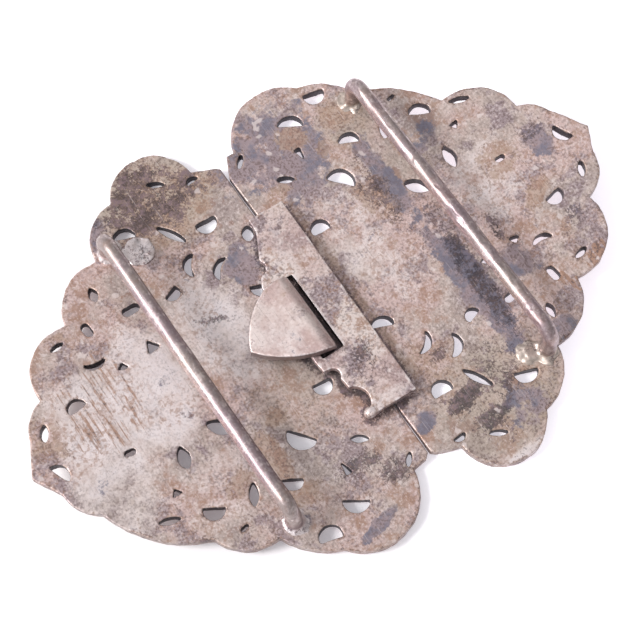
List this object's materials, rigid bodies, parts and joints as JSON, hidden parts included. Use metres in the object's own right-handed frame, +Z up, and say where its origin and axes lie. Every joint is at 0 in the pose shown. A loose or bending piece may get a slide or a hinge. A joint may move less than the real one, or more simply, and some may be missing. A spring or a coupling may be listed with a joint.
{
  "type": "nurse clasp buckle",
  "caption": "Fastened two-piece pierced silver belt clasp, back side up: curved scalloped plates, a wire belt bar on each, and a folded hook through a slotted strip",
  "frame": {"origin": "bottom centre of the bounding box: the middle of the joint line, on the flat surface that the curved front rests on", "axes": "+X from the left half to the right half along the belt, +Y up the joint line, +Z up out of the back of the buckle"},
  "size_m": [0.0856, 0.0629, 0.0091],
  "materials": {
    "tarnished_silver": "worn cast silver with brown and blue-grey tarnish"
  },
  "bodies": {
    "root": {"left_half": "tarnished_silver", "right_half": "tarnished_silver"}
  },
  "joints": []
}
